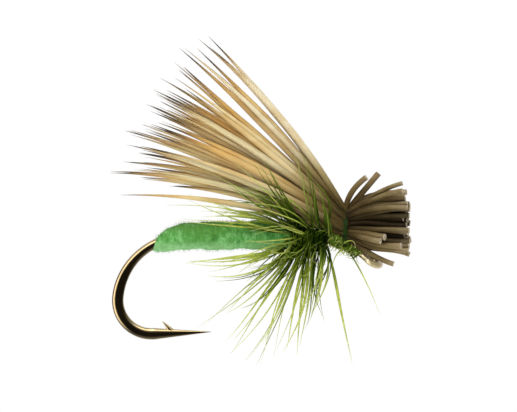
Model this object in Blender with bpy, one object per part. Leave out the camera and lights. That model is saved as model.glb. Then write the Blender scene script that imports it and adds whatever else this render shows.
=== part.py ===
"""Dry fly with a hair wing: a forged hook dressed with thread, wound yarn, a wound feather and elk hair.

Metres. The origin is the centre of the hook eye, +X points forward past the eye, +Z points up to
the wing, and the hook's wire lies in the XZ plane. A station is a distance along the wire's
centreline, measured from the eye centre back over the shank and round the bend to the point.
"""

import math

import bmesh
import bpy
from mathutils import Quaternion, Vector

MM = 0.001

# Hook wire
WIRE = 0.50 * MM  # across the round shank
FORGED_THICKNESS = 0.42 * MM  # across the two flats of the bend
FORGED_DEPTH = 0.62 * MM  # of the bend, in the plane of the hook
NECK_WIRE = 0.37 * MM  # the wire is drawn thinner for the eye
EYE_BORE = 0.45 * MM
EYE_DOWN = 30.0  # degrees the neck and eye turn down
NECK_LENGTH = 2.41 * MM  # eye centre to the start of the neck's corner
NECK_RADIUS = 0.50 * MM
SHANK_LENGTH = 7.63 * MM  # the straight run between the neck's corner and the heel
GAPE = 5.20 * MM  # shank centreline to the spear's start
HEEL_RADIUS = 3.60 * MM
HEEL_TURN = 84.0  # degrees
BEND_TURN = 98.0  # degrees, past which the spear rises a little
SPEAR_LENGTH = 3.10 * MM  # end of the bend to the point
POINT_LENGTH = 3.00 * MM  # the tapered part of the spear
POINT_SHARE = 0.06  # of the wire's size, left at the very point
BARB_STATION = 2.10 * MM  # back from the point
BARB_LIFT = 0.46 * MM
BARB_REACH = 0.46 * MM
SECTION_BEVEL = 0.56  # share of a half width that the corners take off

# Tying thread and yarn
FIT = 0.015 * MM  # clearance between pieces that lie against each other
STEP_GAP = 0.04 * MM  # between two pieces that follow each other along the wire
THREAD_BASE_WALL = 0.08 * MM
TAIL_LENGTH = 1.67 * MM  # how far the dressing runs round the heel
BODY_RADIUS = 0.72 * MM
BODY_TAIL_RADIUS = 0.42 * MM
BODY_TAPER = 0.90 * MM
BODY_SHOULDER = 0.45 * MM  # the rounded front end, under the feather
YARN_PITCH = 0.62 * MM  # between neighbouring turns of yarn
YARN_RIDGE = 0.05 * MM
COLLAR_WIDTH = 0.26 * MM
COLLAR_WALL = 0.12 * MM
TIE_DOWN_LENGTH = 0.27 * MM
TIE_DOWN_WALL = 0.06 * MM
WHIP_LENGTH = 0.42 * MM
WHIP_WALL = 0.07 * MM
WHIP_STATION = 0.80 * MM  # from the eye centre

# Hackle feather
HACKLE_LENGTH = 2.00 * MM  # along the shank
HACKLE_TURNS = 5
STEM = 0.15 * MM
BARBS_PER_TURN = 16.4  # not whole, so that the barbs of neighbouring turns don't line up
BARB_LENGTH = 6.90 * MM
BARB_THICKNESS = 0.07 * MM
BARB_SWEEP_FRONT = 0.0  # degrees back from square to the shank, on the front turn
BARB_SWEEP_REAR = 50.0
BARB_CURL = 16.0  # more degrees, from root to tip
BARE_SECTOR = 66.0  # degrees each side of straight up where the wing lies and the barbs are cut away

# Elk hair
HAIR = 0.26 * MM
HAIR_TIP = 0.05 * MM
HAIR_RINGS = 3  # rings of hairs round the middle one, packed as a hexagon
WING_LENGTH = 11.40 * MM  # tying thread to tips
BUTT_LENGTH = 3.00 * MM  # tying thread to the clipped ends
WING_RISE = 42.0  # degrees above the shank, just behind the thread
WING_SETTLE = 23.0  # degrees above the shank, at the tips
WING_FAN = 22.0  # degrees from the middle of the wing to its edge, seen from the side
WING_SPREAD = 13.0  # and seen from above
BUTT_RISE = 22.0
BUTT_FAN = 27.0
BUTT_SPREAD = 20.0

COLOURS = {
    "bronze": ((0.16, 0.11, 0.05), 0.35, 0.9),
    "thread": ((0.10, 0.22, 0.03), 0.7, 0.0),
    "yarn": ((0.10, 0.33, 0.07), 0.9, 0.0),
    "feather": ((0.20, 0.26, 0.04), 0.6, 0.0),
    "hair": ((0.48, 0.36, 0.20), 0.6, 0.0),
}

SIDE = Vector((0.0, 1.0, 0.0))


def mix(low, high, share):
    """The value share of the way from low to high."""
    return low + (high - low) * share


def smooth(low, high, value):
    """0 below low, 1 above high and an eased rise between them."""
    share = min(max((value - low) / (high - low), 0.0), 1.0)
    return share * share * (3.0 - 2.0 * share)


def scatter(index, turn=0):
    """A fixed number from 0 to 1 for an index, so that hairs and barbs differ."""
    return (math.sin(12.9898 * (index + 1) + 78.233 * turn) * 43758.5453) % 1.0


# The wire's centreline, as stretches of one length and one curvature


def centreline():
    """Each stretch of the wire as its length and curvature, from the eye centre to the point."""
    heel = math.radians(HEEL_TURN)
    end = math.radians(HEEL_TURN + BEND_TURN)
    left = GAPE - HEEL_RADIUS * (1.0 - math.cos(heel))
    bend_radius = left / (math.cos(heel) - math.cos(end))
    return (
        (NECK_LENGTH, 0.0),
        (NECK_RADIUS * math.radians(EYE_DOWN), 1.0 / NECK_RADIUS),
        (SHANK_LENGTH, 0.0),
        (HEEL_RADIUS * heel, 1.0 / HEEL_RADIUS),
        (bend_radius * math.radians(BEND_TURN), 1.0 / bend_radius),
        (SPEAR_LENGTH, 0.0),
    )


STRETCHES = centreline()
SHANK_START = NECK_LENGTH + STRETCHES[1][0]
HEEL_START = SHANK_START + SHANK_LENGTH
BEND_START = HEEL_START + STRETCHES[3][0]
SPEAR_START = BEND_START + STRETCHES[4][0]
POINT_STATION = SPEAR_START + SPEAR_LENGTH


def wire_frame(station):
    """The centreline's point there, its direction toward the point, and the outward direction across it."""
    place = Vector((0.0, 0.0, 0.0))
    heading = -math.radians(EYE_DOWN)
    left = station
    for length, curvature in STRETCHES:
        run = min(length, left)
        turned = heading + run * curvature
        if curvature:
            place.x -= (math.sin(turned) - math.sin(heading)) / curvature
            place.z += (math.cos(turned) - math.cos(heading)) / curvature
        else:
            place.x -= run * math.cos(heading)
            place.z -= run * math.sin(heading)
        heading = turned
        left -= run
        if left <= 0.0:
            break
    along = Vector((-math.cos(heading), 0.0, -math.sin(heading)))
    out = Vector((-math.sin(heading), 0.0, math.cos(heading)))
    return place, along, out


def even(start, end, count):
    """count stations from start, evenly spaced, stopping one short of end."""
    return [mix(start, end, k / count) for k in range(count)]


NECK_END = 0.5 * (EYE_BORE + NECK_WIRE) + 1.1 * NECK_WIRE  # where the wire leaves for the eye
WIRE_STATIONS = (
    even(NECK_END, NECK_LENGTH, 4)
    + even(NECK_LENGTH, SHANK_START, 4)
    + even(SHANK_START, HEEL_START, 5)
    + even(HEEL_START, BEND_START, 11)
    + even(BEND_START, SPEAR_START, 12)
    + even(SPEAR_START, POINT_STATION, 10)[:-1]
    + [mix(SPEAR_START, POINT_STATION, 0.95), POINT_STATION]
)


def stations_between(start, end):
    """Both ends and the wire's own sections between them, so that a sleeve bends just as the wire does."""
    margin = 0.05 * MM
    inside = [s for s in WIRE_STATIONS if start + margin < s < end - margin]
    return [start] + inside + [end]


def wire_size(station):
    """The wire's width across the hook's plane and its depth in that plane."""
    forged = smooth(HEEL_START + 0.4 * STRETCHES[3][0], BEND_START, station)
    round_wire = mix(NECK_WIRE, WIRE, smooth(0.4 * NECK_LENGTH, NECK_LENGTH, station))
    width = mix(round_wire, FORGED_THICKNESS, forged)
    depth = mix(round_wire, FORGED_DEPTH, forged)
    taper = mix(POINT_SHARE, 1.0, min(1.0, (POINT_STATION - station) / POINT_LENGTH))
    return width * taper, depth * taper


# Mesh making


def skin(name, rings, colour, closed=False):
    """One closed solid from rings of points: joined end to end, or capped at both ends."""
    mesh = bmesh.new()
    rows = [[mesh.verts.new(point) for point in ring] for ring in rings]
    pairs = list(zip(rows, rows[1:]))
    if closed:
        pairs.append((rows[-1], rows[0]))
    else:
        mesh.faces.new(rows[0])
        mesh.faces.new(rows[-1][::-1])
    for near, far in pairs:
        for k in range(len(near)):
            following = (k + 1) % len(near)
            mesh.faces.new((near[k], near[following], far[following], far[k]))
    bmesh.ops.recalc_face_normals(mesh, faces=mesh.faces)
    return place_object(name, mesh, colour)


def place_object(name, mesh, colour):
    """The bmesh as an object in the scene, smooth shaded, with its own material."""
    data = bpy.data.meshes.new(name)
    mesh.to_mesh(data)
    mesh.free()
    data.shade_smooth()
    data.set_sharp_from_angle(angle=math.radians(40.0))
    rgb, roughness, metallic = COLOURS[colour]
    material = bpy.data.materials.new(f"{name}_{colour}")
    material.use_nodes = True
    shader = material.node_tree.nodes["Principled BSDF"]
    shader.inputs["Base Color"].default_value = (*rgb, 1.0)
    shader.inputs["Roughness"].default_value = roughness
    shader.inputs["Metallic"].default_value = metallic
    data.materials.append(material)
    made = bpy.data.objects.new(name, data)
    bpy.context.scene.collection.objects.link(made)
    return made


def circle(place, side, up, radius, count):
    """A ring of count points round a place."""
    angles = [2.0 * math.pi * (k + 0.5) / count for k in range(count)]
    return [place + radius * (math.cos(a) * side + math.sin(a) * up) for a in angles]


def sleeve(name, colour, start, end, inner, outer, sides, steps=0):
    """A tube round the wire between two stations, its radii given as functions of the station."""
    bends = stations_between(start, end)
    rings = []
    for station in even(start, end, steps) + [end] if steps else bends:
        place, _, out = wire_frame(station)
        angles = [2.0 * math.pi * (k + 0.5) / sides for k in range(sides)]
        rings.append(
            [
                place + outer(station, a) * (math.cos(a) * SIDE + math.sin(a) * out)
                for a in angles
            ]
        )
    for station in reversed(bends):
        place, _, out = wire_frame(station)
        rings.append(circle(place, SIDE, out, inner(station), sides))
    return skin(name, rings, colour, closed=True)


def around(flat_radius, sides):
    """The corner radius of a polygon whose flats clear a circle of flat_radius."""
    return flat_radius / math.cos(math.pi / sides)


# Hook


def wire_section(place, side, up, width, depth):
    """An eight-sided section with a flat on each side and bevelled corners between them."""
    flat = 1.0 - SECTION_BEVEL
    corners = ((1.0, flat), (flat, 1.0), (-flat, 1.0), (-1.0, flat))
    ring = [place + 0.5 * (width * a * side + depth * b * up) for a, b in corners]
    ring += [place - 0.5 * (width * a * side + depth * b * up) for a, b in corners]
    return ring


def eye_path():
    """The wire's centreline from the neck round the eye, ending just short of the neck again."""
    radius = 0.5 * (EYE_BORE + NECK_WIRE)
    down = math.radians(EYE_DOWN)
    forward = Vector((math.cos(down), 0.0, -math.sin(down)))
    join = math.radians(225.0)
    opening = math.asin((NECK_WIRE + 0.1 * MM) / (2.0 * radius))
    sweep = 2.0 * math.pi - 2.0 * opening - 0.25
    begin = -NECK_END * forward
    meet = radius * (math.cos(join) * forward + math.sin(join) * SIDE)
    leave = radius * (-math.sin(join) * forward + math.cos(join) * SIDE)
    points = []
    for step in range(6):
        t = step / 6
        cubic = (2 * t**3 - 3 * t**2 + 1, t**3 - 2 * t**2 + t, 3 * t**2 - 2 * t**3, t**3 - t**2)
        points.append(
            cubic[0] * begin + cubic[1] * radius * forward + cubic[2] * meet + cubic[3] * leave
        )
    for step in range(21):
        angle = join + sweep * step / 20
        points.append(radius * (math.cos(angle) * forward + math.sin(angle) * SIDE))
    return points


def make_hook():
    """One piece of wire: the ground point, the forged bend, the shank, the neck and the round eye."""
    rings = []
    for station in reversed(WIRE_STATIONS[1:]):
        place, _, out = wire_frame(station)
        rings.append(wire_section(place, SIDE, out, *wire_size(station)))
    path = eye_path()
    _, last_along, up = wire_frame(NECK_END)
    side = SIDE.copy()
    last_along = -last_along
    for k, place in enumerate(path):
        ahead = path[min(k + 1, len(path) - 1)] - path[max(k - 1, 0)]
        ahead.normalize()
        turn = last_along.rotation_difference(ahead)
        side = turn @ side
        up = turn @ up
        last_along = ahead
        rings.append(wire_section(place, side, up, NECK_WIRE, NECK_WIRE))
    hook = skin("hook", rings, "bronze")
    raise_barb(hook)
    return hook


def raise_barb(hook):
    """The barb, drawn out of the spear's inner face and laid back from the point."""
    place, along, out = wire_frame(POINT_STATION - BARB_STATION)
    inward = -out
    mesh = bmesh.new()
    mesh.from_mesh(hook.data)
    facing = [face for face in mesh.faces if face.normal.dot(inward) > 0.9]
    root = min(facing, key=lambda face: (face.calc_center_median() - place).length)
    middle = root.calc_center_median()
    tip_place = middle + BARB_LIFT * inward - BARB_REACH * along
    for share, thickness in ((0.45, 0.62), (1.0, 0.14)):
        root = bmesh.ops.extrude_discrete_faces(mesh, faces=[root])["faces"][0]
        centre = root.calc_center_median()
        target = middle.lerp(tip_place, share)
        for vertex in root.verts:
            vertex.co = target + thickness * (vertex.co - centre)
    bmesh.ops.recalc_face_normals(mesh, faces=mesh.faces)
    mesh.to_mesh(hook.data)
    mesh.free()


# Thread, yarn and feather

THREAD_SIDES = 10
BODY_SIDES = 14
SECTION_REACH = math.hypot(1.0, 1.0 - SECTION_BEVEL)  # a section's corner, in half widths


def wire_bore(half_width):
    """The corner radius of a sleeve's bore that clears the wire's corners."""
    return (SECTION_REACH * half_width + FIT) / math.cos(math.pi / THREAD_SIDES)


BASE_RADIUS = wire_bore(0.5 * WIRE) + THREAD_BASE_WALL
COLLAR_STATION = NECK_LENGTH - 0.5 * COLLAR_WIDTH - STEP_GAP
BASE_FRONT = COLLAR_STATION - 0.5 * COLLAR_WIDTH
TIE_DOWN_FRONT = SHANK_START + STEP_GAP
TIE_DOWN_REAR = TIE_DOWN_FRONT + TIE_DOWN_LENGTH
HACKLE_FRONT = TIE_DOWN_REAR + STEP_GAP + 0.5 * STEM
HACKLE_REAR = HACKLE_FRONT + HACKLE_LENGTH
BODY_FRONT = HACKLE_REAR + 0.5 * STEM + STEP_GAP
TAIL_STATION = HEEL_START + TAIL_LENGTH


def bore_at(station):
    return wire_bore(0.5 * max(wire_size(station)))


def make_thread_base():
    """The first layer of thread, laid along the shank so that nothing slips on bare wire."""
    return sleeve(
        "thread_base",
        "thread",
        BASE_FRONT,
        TAIL_STATION,
        bore_at,
        lambda station, angle: BASE_RADIUS,
        THREAD_SIDES,
    )


def body_outside(station, angle):
    """The wound body's radius: blunt at the tail, full along its middle, with a ridge for each turn."""
    tail = smooth(-0.6 * BODY_TAPER, BODY_TAPER, TAIL_STATION - station)
    front = smooth(-0.5 * BODY_SHOULDER, BODY_SHOULDER, station - BODY_FRONT)
    turn = station / YARN_PITCH - angle / (2.0 * math.pi)
    ridge = YARN_RIDGE * (abs(math.sin(math.pi * turn)) - 0.5)
    return mix(BODY_TAIL_RADIUS, BODY_RADIUS, min(tail, front)) + ridge


def make_body():
    """Soft yarn wound up the shank over the thread base."""
    bore = (BASE_RADIUS + FIT) / math.cos(math.pi / BODY_SIDES)
    steps = round(5 * (TAIL_STATION - BODY_FRONT) / YARN_PITCH)
    return sleeve(
        "body_yarn",
        "yarn",
        BODY_FRONT,
        TAIL_STATION - STEP_GAP,
        lambda station: bore,
        body_outside,
        BODY_SIDES,
        steps,
    )


def feather_frame(turn):
    """The stem's place on its helix, with the directions outward, round and along the shank there."""
    station = mix(HACKLE_REAR, HACKLE_FRONT, turn / HACKLE_TURNS)
    place, along, up = wire_frame(station)
    angle = 2.0 * math.pi * turn
    outward = math.cos(angle) * up + math.sin(angle) * SIDE
    round_way = -math.sin(angle) * up + math.cos(angle) * SIDE
    radius = BASE_RADIUS + FIT + 0.5 * STEM
    return place + radius * outward, outward, round_way, along


def make_hackle():
    """One feather wound round the shank: a square-cut stem in a helix with barbs drawn out of it."""
    mesh = bmesh.new()
    rows = []
    for step in range(round(HACKLE_TURNS * BARBS_PER_TURN) + 1):
        place, outward, _, along = feather_frame(step / BARBS_PER_TURN)
        low = STEM * 0.5
        corners = ((-low, -low), (-low, low), (low, low), (low, -low))
        rows.append([mesh.verts.new(place + a * along + b * outward) for a, b in corners])
    mesh.faces.new(rows[0])
    mesh.faces.new(rows[-1][::-1])
    roots = []
    for step, (near, far) in enumerate(zip(rows, rows[1:])):
        for k in range(4):
            following = (k + 1) % 4
            face = mesh.faces.new((near[k], near[following], far[following], far[k]))
            if k == 1:
                roots.append(((step + 0.5) / BARBS_PER_TURN, face))
    for turn, face in roots:
        from_top = math.degrees(2.0 * math.pi * (turn % 1.0))
        if min(from_top, 360.0 - from_top) > BARE_SECTOR:
            draw_barb(mesh, face, turn)
    bmesh.ops.recalc_face_normals(mesh, faces=mesh.faces)
    return place_object("hackle_feather", mesh, "feather")


def draw_barb(mesh, face, turn):
    """One barb: the stem's outer face drawn out and back in four steps, tapering to its tip."""
    _, outward, round_way, along = feather_frame(turn)
    centre = face.calc_center_median()
    length = BARB_LENGTH * mix(0.86, 1.0, scatter(round(BARBS_PER_TURN * turn)))
    sweep = mix(BARB_SWEEP_REAR, BARB_SWEEP_FRONT, turn / HACKLE_TURNS)
    place = centre.copy()
    walked = 0.0
    for share, thickness in ((0.03, 1.0), (0.35, 0.9), (0.7, 0.65), (1.0, 0.25)):
        angle = math.radians(sweep + BARB_CURL * (share - 0.5))
        place = place + (share - walked) * length * (
            math.cos(angle) * outward + math.sin(angle) * along
        )
        walked = share
        face = bmesh.ops.extrude_discrete_faces(mesh, faces=[face])["faces"][0]
        half = 0.5 * BARB_THICKNESS * thickness
        flat = math.cos(angle) * along - math.sin(angle) * outward
        middle = face.calc_center_median()
        for vertex in face.verts:
            offset = vertex.co - middle
            across = math.copysign(half, offset.dot(round_way))
            back = math.copysign(half, offset.dot(along))
            vertex.co = place + across * round_way + back * flat


def make_tie_down():
    """Thread that holds the feather's tip, between the feather and the wing."""
    bore = (BASE_RADIUS + FIT) / math.cos(math.pi / THREAD_SIDES)
    return sleeve(
        "hackle_tie_down",
        "thread",
        TIE_DOWN_FRONT,
        TIE_DOWN_REAR,
        lambda station: bore,
        lambda station, angle: bore + TIE_DOWN_WALL,
        THREAD_SIDES,
    )


def make_head():
    """Thread wound down the neck in front of the wing, and the whip finish over it behind the eye."""
    neck_radius = BASE_RADIUS - 0.5 * (WIRE - NECK_WIRE)
    sleeve(
        "head_wraps",
        "thread",
        WHIP_STATION,
        BASE_FRONT - STEP_GAP,
        bore_at,
        lambda station, angle: mix(
            neck_radius, BASE_RADIUS, smooth(0.4 * NECK_LENGTH, NECK_LENGTH, station)
        ),
        THREAD_SIDES,
    )
    bore = (neck_radius + FIT) / math.cos(math.pi / THREAD_SIDES)
    sleeve(
        "whip_finish",
        "thread",
        WHIP_STATION + FIT,
        WHIP_STATION + WHIP_LENGTH,
        lambda station: bore + 0.02 * MM,
        lambda station, angle: bore + WHIP_WALL,
        THREAD_SIDES,
    )


# Elk hair

HAIR_PITCH = HAIR + FIT
BUNDLE_HALF = math.sqrt(0.75) * HAIR_RINGS * HAIR_PITCH + 0.5 * HAIR


def bundle_heading(s):
    """How far above the shank the bundle climbs, s behind the thread or, below zero, in front of it."""
    tied = math.radians(EYE_DOWN)
    held = 0.5 * COLLAR_WIDTH
    if s < 0.0:
        return mix(tied, -math.radians(BUTT_RISE), smooth(held, 1.5 * MM, -s))
    risen = mix(tied, math.radians(WING_RISE), smooth(held, 1.2 * MM, s))
    return mix(risen, math.radians(WING_SETTLE), smooth(1.2 * MM, WING_LENGTH, s))


def bundle_start():
    """The middle of the bundle where the thread holds it, on top of the thread base."""
    place, along, out = wire_frame(COLLAR_STATION)
    return place + (BASE_RADIUS + FIT + BUNDLE_HALF) * out


def bundle_frame(s):
    """The bundle's centre and its upward direction, s along it from the thread."""
    steps = max(1, math.ceil(abs(s) / (0.1 * MM)))
    stride = s / steps
    place = bundle_start()
    for step in range(steps):
        heading = bundle_heading((step + 0.5) * stride)
        place += stride * Vector((-math.cos(heading), 0.0, math.sin(heading)))
    heading = bundle_heading(s)
    return place, Vector((math.sin(heading), 0.0, math.cos(heading)))


def spread(s, fan):
    """How much wider than at the thread the bundle is, s along it, for a fan of this half angle."""
    free = max(0.0, abs(s) - 0.5 * MM)
    return 1.0 + free * math.tan(math.radians(fan)) / BUNDLE_HALF


def hair_place(s, across, high):
    """Where the hair that sits at (across, high) in the packed bundle is, s along it."""
    centre, up = bundle_frame(s)
    fan = WING_FAN if s > 0.0 else BUTT_FAN
    aside = WING_SPREAD if s > 0.0 else BUTT_SPREAD
    return centre + high * spread(s, fan) * up + across * spread(s, aside) * SIDE


def hair_radius(s, wing_length):
    """Thick and even from the butt to behind the thread, then tapering to the tip."""
    return 0.5 * mix(HAIR, HAIR_TIP, max(0.0, s / wing_length) ** 1.3)


def make_hair(name, across, high, index):
    """One whole hair, from its clipped butt through the thread to its fine tip."""
    wing = WING_LENGTH * mix(0.88, 1.0, scatter(index))
    butt = BUTT_LENGTH * mix(0.80, 1.0, scatter(index, 1))
    held = 0.5 * COLLAR_WIDTH
    front = [-butt, -0.62 * butt, -0.3 * butt, -held]
    back = [mix(held, wing, (k / 8) ** 1.35) for k in range(9)]
    rings = []
    for s in front + back:
        place = hair_place(s, across, high)
        ahead = hair_place(s + 0.02 * MM, across, high) - hair_place(s - 0.02 * MM, across, high)
        ahead.normalize()
        side = SIDE - SIDE.dot(ahead) * ahead
        side.normalize()
        rings.append(circle(place, side, ahead.cross(side), hair_radius(s, wing), 5))
    return skin(name, rings, "hair")


def packed_places():
    """The hairs' places across the bundle: a hexagon with a flat underside, on the shank."""
    span = range(-HAIR_RINGS, HAIR_RINGS + 1)
    return [
        (HAIR_PITCH * (q + 0.5 * r), HAIR_PITCH * math.sqrt(0.75) * r)
        for r in span
        for q in span
        if abs(q + r) <= HAIR_RINGS
    ]


def make_collar(places):
    """The tight turns of thread that bind hair and shank together, and flare the hair."""
    hook_place, along, out = wire_frame(COLLAR_STATION)
    middle = bundle_start()
    outermost = max(math.hypot(*place) for place in places)
    rounds = [
        (across, high, 0.5 * HAIR)
        for across, high in places
        if math.hypot(across, high) > outermost - 0.1 * HAIR
    ]
    rounds.append((0.0, (hook_place - middle).dot(out), BASE_RADIUS))
    count = 28
    rings = [[], [], [], []]
    for k in range(count):
        angle = 2.0 * math.pi * (k + 0.5) / count
        d = (math.cos(angle), math.sin(angle))
        across, high, radius = max(rounds, key=lambda c: c[0] * d[0] + c[1] * d[1] + c[2])
        inner = around(radius, count) + FIT
        for ring, (reach, shift) in enumerate(
            ((inner, -0.5), (inner + COLLAR_WALL, -0.5), (inner + COLLAR_WALL, 0.5), (inner, 0.5))
        ):
            rings[ring].append(
                middle
                + (across + reach * d[0]) * SIDE
                + (high + reach * d[1]) * out
                + shift * COLLAR_WIDTH * along
            )
    return skin("wing_collar", rings, "thread", closed=True)


def main():
    for old in list(bpy.data.objects):
        bpy.data.objects.remove(old, do_unlink=True)
    make_hook()
    make_thread_base()
    make_body()
    make_hackle()
    make_tie_down()
    make_head()
    places = packed_places()
    make_collar(places)
    for index, (across, high) in enumerate(places):
        make_hair(f"wing_hair_{index + 1:02d}", across, high, index)


main()
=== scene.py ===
"""Dry fly with a hair wing: its materials, hair, feather, yarn and thread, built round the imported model.

Metres. The origin is the centre of the hook eye, +X points forward past the eye and +Z up to the wing.
"""

import math
import random

import bmesh
import bpy
from mathutils import Matrix, Vector


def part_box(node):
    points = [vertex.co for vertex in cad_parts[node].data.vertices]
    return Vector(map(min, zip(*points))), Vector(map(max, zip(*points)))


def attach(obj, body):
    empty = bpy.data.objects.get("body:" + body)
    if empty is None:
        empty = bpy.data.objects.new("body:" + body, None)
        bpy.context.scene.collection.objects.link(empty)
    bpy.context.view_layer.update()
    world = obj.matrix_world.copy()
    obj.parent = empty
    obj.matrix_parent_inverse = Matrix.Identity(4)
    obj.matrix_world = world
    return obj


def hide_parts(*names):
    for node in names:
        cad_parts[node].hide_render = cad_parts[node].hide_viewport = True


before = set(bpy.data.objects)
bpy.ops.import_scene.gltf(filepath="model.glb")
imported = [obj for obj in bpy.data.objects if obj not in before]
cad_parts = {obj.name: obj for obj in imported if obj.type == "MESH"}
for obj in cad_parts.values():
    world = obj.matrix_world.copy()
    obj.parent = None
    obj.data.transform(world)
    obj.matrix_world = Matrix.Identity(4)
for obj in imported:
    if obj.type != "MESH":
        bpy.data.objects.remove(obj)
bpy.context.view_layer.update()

MM = 0.001
SIDE = Vector((0.0, 1.0, 0.0))
RINGS = 190  # along the wire, and along the body

# The hook's wire, in the same sizes as the model's
WIRE = 0.50 * MM
FORGED_THICKNESS = 0.42 * MM
FORGED_DEPTH = 0.62 * MM
NECK_WIRE = 0.37 * MM
EYE_BORE = 0.45 * MM
EYE_RADIUS = 0.5 * (EYE_BORE + NECK_WIRE)
EYE_DOWN = 30.0
EYE_ROLL = 16.0
NECK_LENGTH = 2.41 * MM
NECK_RADIUS = 0.50 * MM
SHANK_LENGTH = 7.63 * MM
GAPE = 5.20 * MM
HEEL_RADIUS = 3.60 * MM
HEEL_TURN = 84.0
BEND_TURN = 98.0
SPEAR_LENGTH = 3.10 * MM
POINT_LENGTH = 3.00 * MM
BARB_STATION = 2.10 * MM
BARB_LIFT = 0.46 * MM
BARB_REACH = 0.46 * MM
BARB_LENGTH = (0.50, 0.05)  # mm along the wire, at its root and its tip
BARB_WIDTH = (0.26, 0.04)

# The dressing
BODY_END = -11.60 * MM
BODY_TAPER = 0.72 * MM
YARN_PITCH = 0.60 * MM
HUB_FRONT = 2.75 * MM  # stations of the hackle's hub on the wire
HUB_REAR = 4.98 * MM
COLLAR_FOOT = Vector((-1.50, 0.0, 0.62)) * MM
COLLAR_TOP = Vector((-1.46, 0.0, 2.55)) * MM
COLLAR_DEPTH = 1.30 * MM
COLLAR_RISE = (0.36, 0.97)  # the part of the collar that hair goes through, from its foot to its top
NECK_FRONT = 0.82 * MM
THREAD = 0.075 * MM
COLLAR_TURNS = 4
NECK_TURNS = 29
HUB_TURNS = 34
HUB_THREAD_RADIUS = 0.33 * MM
STEM_TURNS = 9
STEM_COIL = (0.36, 0.46)  # mm, the winding's radius in front and behind
NECK_COIL = (0.24, 0.36)
BODY_TOP = (1.12, 2.07)  # mm, at the tail end and along the body
BODY_BOTTOM = (0.52, 0.62)

# How many of the things that are scattered
BRUSH_BUTTS = 56
FILL_BARBS = 64
HUB_BARBS = 170
NECK_WISPS = 210
GOLDEN_ANGLE = 2.399963  # radians: spreads things evenly round a circle


def mix(low, high, share):
    return low + (high - low) * share


def smooth(low, high, value):
    share = min(max((value - low) / (high - low), 0.0), 1.0)
    return share * share * (3.0 - 2.0 * share)


def even(start, end, count):
    """count values from start to end, both included."""
    return [mix(start, end, k / (count - 1)) for k in range(count)]


def on_circle(radius, angle):
    return radius * math.cos(angle), radius * math.sin(angle)


def spots(*triples):
    """Points given in mm as forward, up and aside."""
    return [Vector((forward, aside, up)) * MM for forward, up, aside in triples]


def jitter(rng):
    """A random vector, up to 1 each way."""
    return Vector([rng.uniform(-1.0, 1.0) for _ in range(3)])


# Node trees


class Value:
    """A socket that does arithmetic: an expression on it adds its Math nodes."""

    def __init__(self, tree, socket):
        self.tree = tree
        self.socket = socket

    def math(self, operation, *values):
        return self.tree.node("ShaderNodeMath", {"operation": operation}, dict(enumerate(values)))

    def __add__(self, other):
        return self.math("ADD", self, other)

    def __sub__(self, other):
        return self.math("SUBTRACT", self, other)

    def __mul__(self, other):
        return self.math("MULTIPLY", self, other)

    def __truediv__(self, other):
        return self.math("DIVIDE", self, other)

    def __pow__(self, other):
        return self.math("POWER", self, other)

    def __radd__(self, other):
        return self.math("ADD", other, self)

    def __rsub__(self, other):
        return self.math("SUBTRACT", other, self)

    def __rmul__(self, other):
        return self.math("MULTIPLY", other, self)

    def sine(self):
        return self.math("SINE", self)

    def above(self, limit):
        return self.math("GREATER_THAN", self, limit)

    def between(self, low, high, from_value=0.0, to_value=1.0):
        """This value eased from one number to another as it goes from low to high."""
        values = {"Value": self, 1: low, 2: high, 3: from_value, 4: to_value}
        settings = {"interpolation_type": "SMOOTHSTEP"}
        return self.tree.node("ShaderNodeMapRange", settings, values, "Result")


class Tree:
    """A node tree being built, of shader nodes or of geometry nodes."""

    def __init__(self, tree):
        self.tree = tree

    def node(self, kind, settings=None, inputs=None, output=0):
        """Adds any node: its settings first, then the values or links of its sockets. Gives one output."""
        made = self.tree.nodes.new(kind)
        for name, setting in (settings or {}).items():
            if name == "stops":
                self.set_stops(made.color_ramp, setting)
            else:
                setattr(made, name, setting)
        for name, given in (inputs or {}).items():
            socket = self.pick(made.inputs, name)
            if isinstance(given, Value):
                self.tree.links.new(given.socket, socket)
            else:
                socket.default_value = given
        return Value(self, self.pick(made.outputs, output)) if made.outputs else None

    @staticmethod
    def pick(sockets, name):
        if isinstance(name, int):
            return sockets[name]
        return next(socket for socket in sockets if socket.name == name and socket.enabled)

    @staticmethod
    def set_stops(ramp, stops):
        while len(ramp.elements) < len(stops):
            ramp.elements.new(0.5)
        for element, (place, colour) in zip(ramp.elements, stops):
            element.position = place
            element.color = (*linear(colour), 1.0)


def linear(colour):
    """A colour in steps of 0 to 255 as the linear values that shaders take."""
    shares = [c / 255.0 for c in colour]
    return tuple(c / 12.92 if c <= 0.04045 else ((c + 0.055) / 1.055) ** 2.4 for c in shares)


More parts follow.
